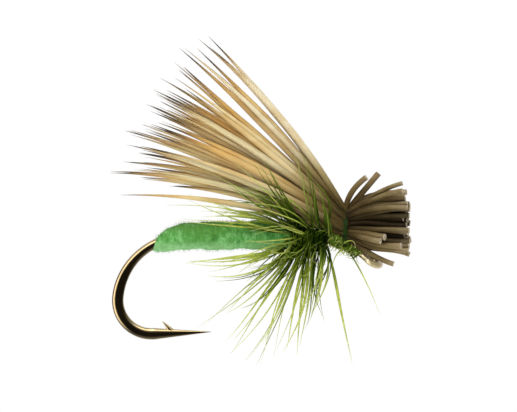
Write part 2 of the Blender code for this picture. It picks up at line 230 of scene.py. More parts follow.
class Finish(Tree):
    """A material on one Principled shader."""

    def __init__(self, name, **constants):
        self.material = bpy.data.materials.new(name)
        self.material.use_nodes = True
        super().__init__(self.material.node_tree)
        self.shader = self.tree.nodes["Principled BSDF"]
        self.constant(**constants)

    def constant(self, **values):
        for socket, value in values.items():
            self.shader.inputs[socket.replace("_", " ")].default_value = value

    def coords(self):
        return self.node("ShaderNodeTexCoord", output="Object")

    def attribute(self, name):
        return self.node("ShaderNodeAttribute", {"attribute_name": name}, output="Fac")

    def noise(self, coords, scale, detail=3.0, roughness=0.5, stretch=None):
        if stretch:
            coords = self.node("ShaderNodeMapping", {}, {"Vector": coords, "Scale": stretch})
        sizes = {"Vector": coords, "Scale": scale, "Detail": detail, "Roughness": roughness}
        return self.node("ShaderNodeTexNoise", {}, sizes, "Fac")

    def ramp(self, factor, stops, interpolation="EASE"):
        made = self.node("ShaderNodeValToRGB", {"stops": stops}, {"Fac": factor}, "Color")
        made.socket.node.color_ramp.interpolation = interpolation
        return made

    def blend(self, factor, first, second, kind="MIX"):
        pair = (first, second)
        colours = [c if isinstance(c, Value) else (*linear(c), 1.0) for c in pair]
        settings = {"data_type": "RGBA", "blend_type": kind}
        values = {"Factor": factor, "A": colours[0], "B": colours[1]}
        return self.node("ShaderNodeMix", settings, values, "Result")

    def bump(self, height, strength, distance):
        sizes = {"Height": height, "Strength": strength, "Distance": distance}
        return self.node("ShaderNodeBump", {}, sizes)

    def use(self, **links):
        for socket, value in links.items():
            self.tree.links.new(value.socket, self.shader.inputs[socket.replace("_", " ")])
        return self.material


# Growing hair, barbs, fibres and thread along guides


class Growth(Tree):
    """A geometry tree with named inputs."""

    def __init__(self, name):
        self.group = bpy.data.node_groups.new(name, "GeometryNodeTree")
        super().__init__(self.group)
        self.entry = self.group.nodes.new("NodeGroupInput")
        self.names = {}
        self.geometry = self.input("Geometry", "NodeSocketGeometry")

    def input(self, name, kind="NodeSocketFloat"):
        socket = self.group.interface.new_socket(name, in_out="INPUT", socket_type=kind)
        self.names[name] = socket.identifier
        return Value(self, self.entry.outputs[name])

    def store(self, geometry, name, value, domain, kind="FLOAT"):
        settings = {"data_type": kind, "domain": domain}
        values = {"Geometry": geometry, "Name": name, "Value": value}
        return self.node("GeometryNodeStoreNamedAttribute", settings, values)

    def named(self, name, kind="FLOAT"):
        return self.node("GeometryNodeInputNamedAttribute", {"data_type": kind}, {"Name": name})

    def chance(self, seed, low, high, kind="FLOAT"):
        """A random number or vector for each strand."""
        index = self.node("GeometryNodeInputIndex")
        values = {"Min": low, "Max": high, "ID": index, "Seed": seed}
        return self.node("FunctionNodeRandomValue", {"data_type": kind}, values, "Value")

    def finish(self, geometry, material):
        """Ends the tree: instances made real, smooth shaded, with their material."""
        real = self.node("GeometryNodeRealizeInstances", {}, {"Geometry": geometry})
        even_shade = self.node("GeometryNodeSetShadeSmooth", {}, {"Geometry": real})
        made = self.node("GeometryNodeSetMaterial", {}, {"Geometry": even_shade, "Material": material})
        self.group.interface.new_socket("Geometry", in_out="OUTPUT", socket_type="NodeSocketGeometry")
        way_out = self.group.nodes.new("NodeGroupOutput")
        self.group.links.new(made.socket, way_out.inputs[0])


def strand_growth():
    """Strands along guides: each guide becomes a tuft of its own count, spread, length and bow."""
    g = Growth("strands")
    thickness = g.input("Thickness")
    root_share = g.input("Root share")
    tip_share = g.input("Tip share")
    taper_start = g.input("Taper start")
    root_spread = g.input("Root spread")
    bow = g.input("Bow")
    shortest = g.input("Shortest")
    steps = g.input("Steps", "NodeSocketInt")
    sides = g.input("Sides", "NodeSocketInt")
    seed = g.input("Seed", "NodeSocketInt")
    material = g.input("Material", "NodeSocketMaterial")

    curves = g.node("GeometryNodeMeshToCurve", {}, {"Mesh": g.geometry})
    tuft = g.node(
        "GeometryNodeDuplicateElements",
        {"domain": "SPLINE"},
        {"Geometry": curves, "Amount": g.named("count", "INT")},
    )
    lot = g.store(tuft, "lot", g.chance(seed, 0.0, 1.0), "CURVE")
    box = ((-1.0, -1.0, -1.0), (1.0, 1.0, 1.0))
    lean = g.chance(seed + 1, *box, kind="FLOAT_VECTOR")
    swing = g.chance(seed + 2, *box, kind="FLOAT_VECTOR")
    lot = g.store(lot, "lean", lean, "CURVE", "FLOAT_VECTOR")
    lot = g.store(lot, "swing", swing, "CURVE", "FLOAT_VECTOR")
    cut = g.node(
        "GeometryNodeTrimCurve",
        {"mode": "FACTOR"},
        {"Curve": lot, "End": g.chance(seed + 3, shortest, 1.0)},
    )
    fine = g.node("GeometryNodeResampleCurve", {}, {"Curve": cut, "Count": steps})
    along = g.node("GeometryNodeSplineParameter", output="Factor")

    def scaled(vector, amount):
        return g.node("ShaderNodeVectorMath", {"operation": "SCALE"}, {0: vector, "Scale": amount})

    spread = root_spread + (g.named("spread") - root_spread) * along ** 1.15
    leaning = scaled(g.named("lean", "FLOAT_VECTOR"), spread)
    bowed = scaled(g.named("swing", "FLOAT_VECTOR"), (along * math.pi).sine() * bow)
    offset = g.node("ShaderNodeVectorMath", {"operation": "ADD"}, {0: leaning, 1: bowed})
    placed = g.node("GeometryNodeSetPosition", {}, {"Geometry": fine, "Offset": offset})
    marked = g.store(placed, "along", along, "POINT")
    rising = root_share + (1.0 - root_share) * along.between(0.0, 0.35)
    values = {"Value": along, 1: taper_start, 2: 1.0, 3: 0.0, 4: 1.0}
    tapering = g.node("ShaderNodeMapRange", {"interpolation_type": "LINEAR"}, values, "Result")
    falling = 1.0 - (1.0 - tip_share) * tapering
    width = (g.named("lot") * 0.35 + 0.82) * thickness * 0.5 * g.named("weight")
    ring = g.node("GeometryNodeCurvePrimitiveCircle", {}, {"Resolution": sides, "Radius": 1.0})
    tube = g.node(
        "GeometryNodeCurveToMesh",
        {},
        {
            "Curve": marked,
            "Profile Curve": ring,
            "Scale": rising * falling * width,
            "Fill Caps": True,
        },
    )
    g.finish(tube, material)
    return g


def guide_mesh(name, guides):
    """Guides as one mesh of open lines, each with its count of strands, their spread, weight and tone; for
    butts and barbs the tone sets how much painted shade they take.
    """
    mesh = bpy.data.meshes.new(name)
    points, edges = [], []
    traits = {"count": [], "spread": [], "weight": [], "tone": []}
    for line, *values in guides:
        first = len(points)
        points += line
        edges += [(first + k, first + k + 1) for k in range(len(line) - 1)]
        for trait, value in zip(traits.values(), values):
            trait += [value] * len(line)
    mesh.from_pydata(points, edges, [])
    for title, values in traits.items():
        kind = "INT" if title == "count" else "FLOAT"
        mesh.attributes.new(title, kind, "POINT").data.foreach_set("value", values)
    return mesh


def link(name, mesh):
    made = bpy.data.objects.new(name, mesh)
    bpy.context.scene.collection.objects.link(made)
    return made


def grow(name, source, growth, **sizes):
    """A plain mesh piece: the source mesh grown by a geometry tree with these sizes."""
    piece = link(name, source)
    modifier = piece.modifiers.new("growth", "NODES")
    modifier.node_group = growth.group
    for title, value in sizes.items():
        modifier[growth.names[title.replace("_", " ")]] = value
    depsgraph = bpy.context.evaluated_depsgraph_get()
    grown = bpy.data.meshes.new_from_object(piece.evaluated_get(depsgraph), depsgraph=depsgraph)
    piece.modifiers.remove(modifier)
    grown.name = name
    piece.data = grown
    bpy.data.meshes.remove(source)
    return piece


def fuzz_growth():
    """Short curved fibres that stand and lie on a surface."""
    g = Growth("fuzz")
    density = g.input("Density")
    length = g.input("Length")
    thickness = g.input("Thickness")
    seed = g.input("Seed", "NodeSocketInt")
    material = g.input("Material", "NodeSocketMaterial")
    spots = g.node(
        "GeometryNodeDistributePointsOnFaces",
        {"distribute_method": "RANDOM"},
        {"Mesh": g.geometry, "Density": density, "Seed": seed},
        "Points",
    )
    normal = Value(g, spots.socket.node.outputs["Normal"])
    lean = g.chance(seed + 1, (-1.3, -1.3, -1.3), (1.3, 1.3, 1.3), kind="FLOAT_VECTOR")
    leaning = g.node("ShaderNodeVectorMath", {"operation": "ADD"}, {0: normal, 1: lean})
    turned = g.node("FunctionNodeAlignRotationToVector", {"axis": "Z"}, {"Vector": leaning}, "Rotation")
    line = g.node(
        "GeometryNodeCurveQuadraticBezier",
        {},
        {"Resolution": 4, "Start": (0.0, 0.0, -0.2), "Middle": (0.0, 0.0, 0.6), "End": (0.45, 0.0, 0.9)},
    )
    ring = g.node("GeometryNodeCurvePrimitiveCircle", {}, {"Resolution": 3, "Radius": 1.0})
    along = g.node("GeometryNodeSplineParameter", output="Factor")
    fibre = g.node(
        "GeometryNodeCurveToMesh",
        {},
        {
            "Curve": line,
            "Profile Curve": ring,
            "Scale": (1.0 - 0.7 * along) * thickness * 0.5 / length,
            "Fill Caps": True,
        },
    )
    fibres = g.node(
        "GeometryNodeInstanceOnPoints",
        {},
        {
            "Points": spots,
            "Instance": fibre,
            "Rotation": turned,
            "Scale": g.chance(seed + 2, 0.5, 1.0) * length,
        },
    )
    g.finish(fibres, material)
    return g


def bezier(start, toward, backward, end, count=12):
    """Points on a cubic from start to end, pulled by its two handles."""
    points = []
    for t in even(0.0, 1.0, count):
        u = 1.0 - t
        points.append(u**3 * start + 3 * u * u * t * toward + 3 * u * t * t * backward + t**3 * end)
    return points


def through(start, middle, end, count=14):
    """Points on the plain arc that passes the middle point halfway."""
    pull = 2.0 * middle - 0.5 * (start + end)
    return bezier(start, start.lerp(pull, 2.0 / 3.0), end.lerp(pull, 2.0 / 3.0), end, count)


def heading(angle):
    """The direction that goes back and up at an angle in degrees."""
    up = math.radians(angle)
    return Vector((-math.cos(up), 0.0, math.sin(up)))


# The wire's centreline


def centreline():
    heel, end = math.radians(HEEL_TURN), math.radians(HEEL_TURN + BEND_TURN)
    left = GAPE - HEEL_RADIUS * (1.0 - math.cos(heel))
    bend_radius = left / (math.cos(heel) - math.cos(end))
    return (
        (NECK_LENGTH, 0.0),
        (NECK_RADIUS * math.radians(EYE_DOWN), 1.0 / NECK_RADIUS),
        (SHANK_LENGTH, 0.0),
        (HEEL_RADIUS * heel, 1.0 / HEEL_RADIUS),
        (bend_radius * math.radians(BEND_TURN), 1.0 / bend_radius),
        (SPEAR_LENGTH, 0.0),
    )


STRETCHES = centreline()
HEEL_START = sum(length for length, _ in STRETCHES[:3])
BEND_START = HEEL_START + STRETCHES[3][0]
SPEAR_START = BEND_START + STRETCHES[4][0]
POINT_STATION = SPEAR_START + SPEAR_LENGTH


def wire_frame(station):
    """The centreline's point there, its direction toward the point, and the outward direction across it."""
    place = Vector((0.0, 0.0, 0.0))
    angle = -math.radians(EYE_DOWN)
    left = station
    for length, curvature in STRETCHES:
        run = min(length, left)
        turned = angle + run * curvature
        if curvature:
            place.x -= (math.sin(turned) - math.sin(angle)) / curvature
            place.z += (math.cos(turned) - math.cos(angle)) / curvature
        else:
            place.x -= run * math.cos(angle)
            place.z -= run * math.sin(angle)
        angle = turned
        left -= run
        if left <= 0.0:
            break
    along = Vector((-math.cos(angle), 0.0, -math.sin(angle)))
    return place, along, Vector((-math.sin(angle), 0.0, math.cos(angle)))


def wire_size(station):
    forged = smooth(HEEL_START + 0.4 * STRETCHES[3][0], BEND_START, station)
    round_wire = mix(NECK_WIRE, WIRE, smooth(0.4 * NECK_LENGTH, NECK_LENGTH, station))
    width = mix(round_wire, FORGED_THICKNESS, forged)
    depth = mix(round_wire, FORGED_DEPTH, forged)
    taper = mix(0.04, 1.0, min(1.0, (POINT_STATION - station) / POINT_LENGTH))
    return width * taper, depth * taper


# Shapes in mesh


def skin(name, rings):
    """A smooth closed mesh through rings of points, capped at both ends."""
    mesh = bmesh.new()
    rows = [[mesh.verts.new(point) for point in ring] for ring in rings]
    mesh.faces.new(rows[0])
    mesh.faces.new(rows[-1][::-1])
    for near, far in zip(rows, rows[1:]):
        for k in range(len(near)):
            following = (k + 1) % len(near)
            mesh.faces.new((near[k], near[following], far[following], far[k]))
    bmesh.ops.recalc_face_normals(mesh, faces=mesh.faces)
    data = bpy.data.meshes.new(name)
    mesh.to_mesh(data)
    mesh.free()
    data.shade_smooth()
    return link(name, data)


def section(place, side, up, width, depth, squareness, count=20):
    """One ring of the wire: round at squareness 0, flatter on its sides as it goes to 1."""
    power = mix(1.0, 0.86, squareness)
    ring = []
    for k in range(count):
        angle = 2.0 * math.pi * (k + 0.5) / count
        a, b = math.cos(angle), math.sin(angle)
        across = math.copysign(abs(a) ** power, a) * 0.5 * width
        high = math.copysign(abs(b) ** power, b) * 0.5 * depth
        ring.append(place + across * side + high * up)
    return ring


def eye_path():
    """The wire's centreline from the neck round the eye, ending just short of the neck again."""
    radius = EYE_RADIUS
    down = math.radians(EYE_DOWN)
    forward = Vector((math.cos(down), 0.0, -math.sin(down)))
    join = math.radians(225.0)
    opening = math.asin((NECK_WIRE + 0.1 * MM) / (2.0 * radius))
    sweep = 2.0 * math.pi - 2.0 * opening - 0.25
    meet = radius * (math.cos(join) * forward + math.sin(join) * SIDE)
    leave = radius * (-math.sin(join) * forward + math.cos(join) * SIDE)
    begin = -(radius + 1.1 * NECK_WIRE) * forward
    lead = bezier(begin, begin + radius / 3 * forward, meet - leave / 3, meet, 9)[:-1]
    loop = [
        radius * (math.cos(join + turn) * forward + math.sin(join + turn) * SIDE)
        for turn in even(0.0, sweep, 40)
    ]
    roll = Matrix.Rotation(math.radians(EYE_ROLL), 3, forward)
    return [roll @ place for place in lead + loop]


def make_hook():
    """The whole wire with its point, forged bend and eye, smoother than the model's."""
    rings = []
    neck_end = EYE_RADIUS + 1.1 * NECK_WIRE
    for station in even(POINT_STATION, neck_end, RINGS):
        place, _, out = wire_frame(station)
        squareness = smooth(HEEL_START, BEND_START, station)
        rings.append(section(place, SIDE, out, *wire_size(station), squareness))
    path = eye_path()
    _, last_along, up = wire_frame(neck_end)
    last_along = -last_along
    side = SIDE.copy()
    for k, place in enumerate(path[1:], 1):
        ahead = (path[min(k + 1, len(path) - 1)] - path[k - 1]).normalized()
        turn = last_along.rotation_difference(ahead)
        side, up, last_along = turn @ side, turn @ up, ahead
        rings.append(section(place, side, up, NECK_WIRE, NECK_WIRE, 0.0))
    return skin("hook_wire", rings)


def make_barb():
    """The barb: a thin wedge raised from the spear's inner face, leaning back from the point."""
    place, along, out = wire_frame(POINT_STATION - BARB_STATION)
    inward = -out
    root = place + 0.10 * MM * inward
    rings = []
    for share in even(0.0, 1.0, 9):
        middle = root + share * (BARB_LIFT + 0.1 * MM) * inward - share**1.2 * BARB_REACH * along
        length = mix(*BARB_LENGTH, share**0.8) * MM
        width = mix(*BARB_WIDTH, share) * MM
        rings.append(section(middle, SIDE, along, width, length, 0.3, 12))
    return skin("hook_barb", rings)


def body_profile(back):
    """The wound body's lower and upper outline, back from its tail end: blunt behind, low in front."""
    tail = 1.0 - math.exp(-back / BODY_TAPER)
    top = mix(*BODY_TOP, tail) * MM
    bottom = mix(*BODY_BOTTOM, smooth(0.2 * MM, 2.6 * MM, back)) * MM
    return bottom, top


def make_body():
    """Yarn wound over the shank: its turns stand upright, down to a blunt end over the bend."""
    rng = random.Random(5)
    lumps = [
        (rng.uniform(0.006, 0.014) * MM, rng.uniform(1.2, 6.5), rng.randint(0, 3), rng.uniform(0.0, 6.3))
        for _ in range(8)
    ]
    low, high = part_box("body_yarn")
    length = high[0] - low[0] + 0.3 * MM
    rings = []
    sides = 72
    for share in even(0.0, 1.0, RINGS):
        back = length * share
        x = BODY_END + back
        bottom, top = body_profile(back)
        middle, radius = 0.5 * (bottom + top), 0.5 * (top - bottom)
        rounding = min(1.0, (back / (0.10 * MM) + 0.02) ** 0.5)
        ring = []
        for k in range(sides):
            angle = 2.0 * math.pi * k / sides
            turn = back / YARN_PITCH + angle / (2.0 * math.pi)
            reach = radius + 0.016 * MM * abs(math.sin(math.pi * turn)) ** 0.6
            for size, rate, around, phase in lumps:
                reach += size * math.sin(rate * back / MM + around * angle + phase)
            reach *= mix(0.86, 1.0, rounding)
            lean = 0.05 * MM * math.sin(angle)
            ring.append(Vector((x + lean, 0.98 * reach * math.cos(angle), middle + reach * math.sin(angle))))
        rings.append(ring)
    for inset in (0.93, 0.8, 0.6):
        centre = sum(rings[0], Vector()) / sides
        rings.insert(0, [centre.lerp(point, inset) - Vector((0.02 * MM, 0.0, 0.0)) for point in rings[0]])
    return skin("yarn_body", rings)


# Finishes


def bronze_finish():
    """Bronzed steel: dark brown under a clear lacquer, brassy where it is worn, and painted pale cream on
    the outside of the eye as a highlight.
    """
    f = Finish("bronzed_steel", Metallic=1.0, Coat_Weight=1.0, Coat_Roughness=0.08, Coat_IOR=1.7)
    coords = f.coords()
    cloud = f.noise(coords, 900.0, 4.0, 0.6)
    scratches = f.noise(coords, 2500.0, 3.0, 0.6, stretch=(0.25, 1.0, 1.0))
    base = f.ramp(cloud, ((0.3, (112, 92, 48)), (0.55, (132, 110, 60)), (0.8, (152, 128, 74))))
    worn = f.blend(scratches.between(0.62, 0.8, 0.0, 0.5), base, (186, 150, 92))
    forward = f.node("ShaderNodeSeparateXYZ", {}, {"Vector": coords}, "X")
    reach = f.node("ShaderNodeVectorMath", {"operation": "LENGTH"}, {0: coords}, "Value")
    # painted highlight: the outside of the eye ring is coloured pale cream and made less metallic; its
    # inside keeps the dark bronze, so the hole looks shaded
    outer = reach.between(EYE_RADIUS - 0.05 * MM, EYE_RADIUS + 0.03 * MM)
    painted_eye_highlight = forward.between(-0.75 * MM, -0.35 * MM) * outer
    worn_and_painted_highlight = f.blend(painted_eye_highlight * 0.85, worn, (222, 204, 156))
    normal = f.bump(scratches, 0.12, 0.01 * MM)
    return f.use(
        Base_Color=worn_and_painted_highlight,
        Metallic=1.0 - painted_eye_highlight * 0.7,
        Roughness=cloud.between(0.3, 0.7, 0.12, 0.2) + painted_eye_highlight * 0.2,
        Normal=normal,
    )


HAIR_PALE = (
    (0.0, (60, 50, 22)), (0.10, (94, 80, 44)), (0.24, (160, 145, 102)),
    (0.42, (222, 205, 160)), (0.74, (225, 206, 156)), (0.85, (202, 178, 130)),
    (0.91, (164, 142, 106)), (0.95, (102, 88, 70)), (0.98, (64, 58, 52)),
)
HAIR_GOLD = (
    (0.0, (58, 48, 20)), (0.12, (88, 74, 37)), (0.28, (152, 131, 84)),
    (0.46, (212, 183, 126)), (0.74, (210, 173, 106)), (0.84, (182, 146, 90)),
    (0.90, (134, 110, 78)), (0.94, (84, 72, 58)), (0.98, (58, 52, 46)),
)


def hair_finish():
    """Elk hair: taupe at the thread, straw then gold along the hair, and a dark fine tip."""
    f = Finish("elk_hair", Specular_IOR_Level=0.1, Subsurface_Weight=0.55)
    f.constant(Subsurface_Radius=(1.0, 1.0, 1.0), Subsurface_Scale=0.2 * MM)
    along, lot, gold = f.attribute("along"), f.attribute("lot"), f.attribute("tone")
    place = along + (lot - 0.5) * 0.11
    tint = f.blend(
        (gold * 0.75 + lot * 0.4).between(0.3, 0.95),
        f.ramp(place, HAIR_PALE, "LINEAR"),
        f.ramp(place, HAIR_GOLD, "LINEAR"),
    )
    cream = (0.0 - gold).between(0.0, 0.5, 0.0, 0.7) * along.between(0.25, 0.45)
    cream = cream * (1.0 - along.between(0.75, 0.88))
    tint = f.blend(cream, tint, (226, 220, 200))
    coords = f.coords()
    grain = f.noise(coords, 1500.0, 2.0, 0.5, stretch=(0.3, 1.0, 0.6))
    streak = f.noise(coords, 1100.0, 2.0, 0.5, stretch=(0.35, 1.0, 0.8))
    shaded = f.blend(streak.between(0.45, 0.62, 0.0, 0.4), tint, (226, 202, 160), "MULTIPLY")
    normal = f.bump(grain, 0.2, 0.012 * MM)
    return f.use(Base_Color=shaded, Roughness=grain.between(0.3, 0.7, 0.45, 0.6), Normal=normal)


def butt_finish():
    """The clipped butts: grey-brown and faintly ribbed, with pale pithy ends, and painted shade on the hairs
    deep in the brush.
    """
    f = Finish("hair_butts", Specular_IOR_Level=0.08)
    along, lot, tone = f.attribute("along"), f.attribute("lot"), f.attribute("tone")
    stops = ((0.0, (30, 23, 8)), (0.3, (68, 55, 28)), (0.7, (122, 106, 70)), (1.0, (152, 136, 102)))
    tint = f.ramp(along, stops)
    warm = f.blend(lot.between(0.3, 0.9, 0.0, 0.5), tint, (104, 84, 50))
    # painted shade: hairs whose tone is low, deep in the brush, are coloured near black-brown
    painted_inner_shade = f.blend(tone.between(0.45, 0.95, 0.9, 0.0), warm, (32, 24, 9))
    grain = f.noise(f.coords(), 3000.0, 3.0, 0.6, stretch=(0.3, 1.0, 1.0))
    fine = f.blend(grain.between(0.3, 0.75, 0.0, 0.45), painted_inner_shade, (150, 128, 98), "MULTIPLY")
    pith = f.noise(f.coords(), 9000.0, 2.0, 0.5)
    cut = f.blend(pith.between(0.3, 0.7), (196, 184, 162), (160, 146, 122))
    ended = f.blend(along.above(0.985), fine, cut)
    normal = f.bump(grain, 0.3, 0.012 * MM)
    return f.use(Base_Color=ended, Roughness=grain.between(0.3, 0.7, 0.45, 0.65), Normal=normal)


BARB_LIGHT = (
    (0.0, (14, 26, 2)), (0.08, (48, 68, 8)), (0.22, (136, 154, 46)),
    (0.45, (194, 203, 100)), (1.0, (206, 211, 140)),
)
# the same barb colours in painted shade
BARB_PAINTED_SHADE = (
    (0.0, (8, 18, 1)), (0.2, (30, 50, 4)), (0.55, (74, 96, 16)),
    (1.0, (124, 142, 52)),
)


def barb_finish():
    """Dyed feather barbs: nearly black-green at the root, pale olive to the tip; some, by their tone, are
    dark all along with painted shade.
    """
    f = Finish("hackle_barbs", Specular_IOR_Level=0.06, Subsurface_Weight=0.5)
    f.constant(Subsurface_Radius=(0.9, 1.0, 0.5), Subsurface_Scale=0.1 * MM)
    along, lot, dark = f.attribute("along"), f.attribute("lot"), f.attribute("tone")
    light = f.ramp(along, BARB_LIGHT)
    deep = f.ramp(along, BARB_PAINTED_SHADE)
    # painted shade: the tone, with a little chance, picks how much of the shaded colours a barb takes
    tint = f.blend((dark * 0.8 + lot * 0.3).between(0.35, 0.75), light, deep)
    grain = f.noise(f.coords(), 4000.0, 2.0, 0.5)
    shaded = f.blend(grain.between(0.3, 0.7, 0.0, 0.4), tint, (160, 168, 80), "MULTIPLY")
    return f.use(Base_Color=shaded, Roughness=grain.between(0.3, 0.7, 0.4, 0.6))


def yarn_finish():
    """Soft green yarn, felted over, with the turns just showing, painted a pale mint underneath as light
    from below and a deeper olive on top as the wing's shade.
    """
    f = Finish("green_yarn", Specular_IOR_Level=0.1, Sheen_Weight=0.15, Sheen_Roughness=0.6)
    f.constant(Sheen_Tint=(0.6, 0.9, 0.6, 1.0))
    coords = f.coords()
    felt = f.noise(coords, 5200.0, 5.0, 0.65)
    fibre = f.noise(coords, 2900.0, 5.0, 0.75, stretch=(1.5, 0.7, 0.75))
    cloud = f.noise(coords, 620.0, 3.0, 0.6)
    tint = f.ramp(fibre, ((0.34, (54, 116, 46)), (0.5, (92, 162, 78)), (0.66, (134, 200, 124))))
    patchy = f.blend(cloud.between(0.4, 0.65, 0.0, 0.45), tint, (80, 136, 48))
    height = f.node("ShaderNodeSeparateXYZ", {}, {"Vector": coords}, "Z")
    # painted light: the underside is coloured a pale mint, as light from below
    under = height.between(0.72 * MM, 1.25 * MM, 0.62, 0.0) * felt.between(0.3, 0.7, 0.55, 1.0)
    painted_underlight = f.blend(under, patchy, (170, 222, 160))
    # painted shade: the top is coloured a deeper olive, as the wing's shadow
    painted_top_shade = f.blend(height.between(1.3 * MM, 1.95 * MM, 0.0, 0.45), painted_underlight, (80, 120, 44))
    relief = f.bump(felt * 0.7 + fibre, 0.8, 0.035 * MM)
    return f.use(Base_Color=painted_top_shade, Roughness=felt.between(0.3, 0.7, 0.85, 1.0), Normal=relief)


def thread_finish(name, shade, glint):
    """Waxed tying thread between two close colours."""
    f = Finish(name, Specular_IOR_Level=0.1)
    grain = f.noise(f.coords(), 5000.0, 3.0, 0.6)
    lot = f.attribute("lot")
    tint = f.blend(grain.between(0.3, 0.7), shade, glint)
    varied = f.blend(lot * 0.3, tint, shade)
    return f.use(
        Base_Color=varied, Roughness=grain.between(0.3, 0.7, 0.5, 0.75), Normal=f.bump(grain, 0.4, 0.01 * MM)
    )


# Elk hair

# Each tuft of the wing, from the top edge down: the angle above the shank and the reach of its tips,
# its angle halfway out, its hairs, how far apart their tips are, how far it lies to the side, and how
# golden it is, where a number below zero means cream
WING_TUFTS = (
    (52.0, 12.1, 56.2, 1, 0.03, -0.2, -0.5),
    (49.5, 12.4, 55.2, 1, 0.03, 0.3, -0.5),
    (50.2, 11.9, 55.6, 1, 0.03, -0.5, -0.3),
    (48.0, 11.9, 50.1, 2, 0.04, -0.4, 0.5),
    (45.3, 12.7, 49.1, 1, 0.05, -0.6, -0.3),
    (45.9, 11.6, 48.4, 2, 0.05, 0.2, -0.2),
    (45.0, 12.4, 47.4, 1, 0.05, -0.2, 0.4),
    (42.2, 12.17, 41.5, 2, 0.08, -0.5, 0.95),
    (40.6, 12.13, 40.4, 3, 0.1, 0.5, 0.8),
    (38.3, 11.56, 39.6, 2, 0.1, -1.0, 0.3),
    (36.0, 11.98, 38.2, 3, 0.14, 0.3, 0.5),
    (34.2, 11.78, 36.6, 3, 0.22, -0.6, 0.8),
    (32.2, 12.24, 34.8, 4, 0.24, 0.8, 0.2),
    (31.5, 11.37, 33.2, 4, 0.26, -1.2, 0.4),
    (30.0, 11.53, 31.4, 5, 0.26, 0.4, 0.7),
    (28.4, 11.78, 29.6, 5, 0.26, -0.4, 0.3),
    (26.0, 11.12, 27.6, 4, 0.22, 1.2, 0.6),
    (24.6, 11.48, 26.0, 4, 0.24, -1.2, 0.8),
    (22.8, 11.78, 23.8, 4, 0.22, 0.2, 0.3),
    (21.2, 12.24, 21.8, 4, 0.2, -0.8, 0.5),
    (19.4, 12.79, 20.2, 3, 0.14, 0.5, 0.4),
    (17.8, 11.98, 18.8, 4, 0.2, -1.4, 0.2),
    (15.8, 11.63, 17.2, 4, 0.24, 0.4, 0.6),
    (12.9, 12.48, 15.8, 2, 0.08, -0.5, 0.5),
    (12.6, 11.12, 14.0, 3, 0.18, 0.8, 0.8),
    (11.6, 11.68, 12.6, 3, 0.16, -1.1, 0.4),
    (9.5, 12.78, 11.4, 2, 0.1, -0.3, 0.5),
    (9.0, 11.58, 9.8, 3, 0.16, 0.6, 0.2),
    (8.4, 9.54, 8.4, 3, 0.2, -0.6, 0.4),
    (4.8, 12.01, 4.4, 1, 0.02, -0.9, 0.5),
)
WING_SPRING = Vector((-1.48, 0.0, 2.60)) * MM  # where the tips' angles and reaches are taken from


def wing_guides():
    guides = []
    for angle, reach, halfway, count, spread, aside, gold in WING_TUFTS:
        share = min(1.0, (angle - 4.0) / 44.0)
        root = COLLAR_FOOT.lerp(COLLAR_TOP, mix(*COLLAR_RISE, share)) + 0.26 * aside * MM * SIDE
        root += Vector((0.04, 0.0, 0.0)) * MM
        tip = WING_SPRING + reach * MM * heading(angle) + aside * 1.25 * MM * SIDE
        middle = WING_SPRING + 0.5 * reach * MM * heading(halfway) + aside * 0.8 * MM * SIDE
        guides.append((through(root, middle, tip), count, spread * MM, 1.0, gold))
    return guides


# The clipped butts that stand apart from the brush: halfway and cut end, each forward, up and aside
LOOSE_BUTTS = (
    ((-1.14, 3.62, -0.1), (-0.29, 4.52, -0.2), 0.92),
    ((-0.52, 3.66, 0.2), (0.34, 4.66, 0.4), 1.0),
    ((-0.02, 3.56, -0.2), (1.56, 4.18, -0.4), 0.92),
    ((0.22, 3.42, -0.5), (1.62, 3.8, -0.8), 1.0),
    ((0.3, 3.28, 0.2), (1.6, 3.55, 0.3), 1.0),
    ((-0.36, 1.3, -1.2), (0.37, 1.22, -1.6), 1.1),
    ((-0.3, 1.48, -1.0), (0.62, 1.42, -1.5), 1.0),
    ((0.1, 1.02, -1.0), (1.46, 0.97, -1.5), 1.05),
    ((0.0, 0.4, -0.95), (1.18, -0.08, -1.15), 1.05),
)


def butt_guides():
    """The brush of butts in front of the thread, flared and then clipped square across."""
    guides = []
    neck = COLLAR_TOP - COLLAR_FOOT
    for middle, end, weight in LOOSE_BUTTS:
        start = COLLAR_FOOT + mix(0.36, 0.98, smooth(0.3, 4.0, middle[1])) * neck
        start += 0.3 * middle[2] * MM * SIDE
        start -= Vector((0.04, 0.0, 0.0)) * MM
        guides.append((through(start, *spots(middle, end)), 1, 0.0, weight, 1.0))
    rng = random.Random(8)
    for index in range(BRUSH_BUTTS):
        ring = math.sqrt((index + 0.5) / BRUSH_BUTTS)
        around = GOLDEN_ANGLE * index + rng.uniform(-0.35, 0.35)
        across, high = ring * math.cos(around), ring * math.sin(around)
        hollow = math.exp(-(((high - 0.12) / 0.34) ** 2))  # the brush is narrow at mid height, and its hairs there get more painted shade
        across *= 1.0 - 0.5 * hollow
        start = COLLAR_FOOT + mix(*COLLAR_RISE, 0.5 + 0.5 * high) * neck + 0.40 * across * MM * SIDE
        start -= Vector((0.04, 0.0, 0.0)) * MM
        end = Vector((rng.uniform(1.68, 2.04), 1.5 * across, 1.94 + 1.80 * high)) * MM
        end += Vector((0.0, rng.uniform(-0.16, 0.16), rng.uniform(-0.18, 0.18))) * MM
        length = (end - start).length
        leaving = Vector((0.62, 0.7 * across, 0.62 * high + rng.uniform(-0.1, 0.3))).normalized()
        arriving = Vector((1.0, 0.12 * across, 0.16 * high + rng.uniform(-0.36, 0.22))).normalized()
        line = bezier(start, start + 0.42 * length * leaving, end - 0.36 * length * arriving, end)
        # the last number is the hair's tone, low inside the brush and at mid height, where it gets painted
        # shade
        guides.append((line, 1, 0.0, rng.uniform(0.85, 1.1), ring * (1.0 - 0.45 * hollow)))
    return guides
